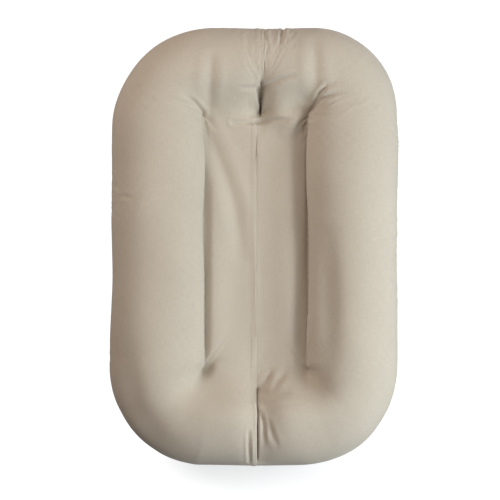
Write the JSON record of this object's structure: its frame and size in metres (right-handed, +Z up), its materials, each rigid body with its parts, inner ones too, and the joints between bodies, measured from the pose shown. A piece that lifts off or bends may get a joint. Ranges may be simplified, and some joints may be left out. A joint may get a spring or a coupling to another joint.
{
  "type": "infant lounger",
  "caption": "Ring-shaped stuffed bolster round a shallow fabric sling for a lying baby, in a removable cotton cover with a concealed zip underneath.",
  "frame": {"origin": "on the floor under the middle of the lounger", "axes": "+Y along the length towards the head end, +Z up, +X to the right seen from above with the head end away"},
  "size_m": [0.486, 0.737, 0.115],
  "materials": {
    "cover_cotton": "plain woven cotton, matt",
    "casing_cotton": "unbleached lining cotton",
    "sling_cotton": "unbleached canvas",
    "fibre_fill": "loose hollow fibre",
    "zip_tape": "woven tape",
    "zip_coil": "moulded nylon",
    "zip_metal": "dull nickel plate",
    "label_cloth": "satin ribbon, blank"
  },
  "bodies": {
    "cushion": {"fill_ring": "fibre_fill", "ring_casing_top": "casing_cotton", "ring_casing_bottom": "casing_cotton", "sling_panel": "sling_cotton", "cover_top_left": "cover_cotton", "cover_top_right": "cover_cotton", "cover_bottom_left": "cover_cotton", "cover_bottom_right": "cover_cotton", "zip_tape_left": "zip_tape", "zip_tape_right": "zip_tape", "zip_coil_left": "zip_coil", "zip_coil_right": "zip_coil", "zip_foot_stop": "zip_metal", "zip_head_stop_left": "zip_metal", "zip_head_stop_right": "zip_metal", "care_label": "label_cloth"},
    "slider": {"zip_slider": "zip_metal"},
    "pull": {"zip_pull": "zip_metal"}
  },
  "joints": [
    {"name": "zip_slide", "type": "slide", "parent": "cushion", "child": "slider", "axis": [0, -1, 0], "range_m": [0, 0.361]},
    {"name": "pull_hinge", "type": "hinge", "parent": "slider", "child": "pull", "pos_m": [0, 0.17969, 0.01135], "axis": [1, 0, 0], "range_deg": [-27, 153]}
  ]
}
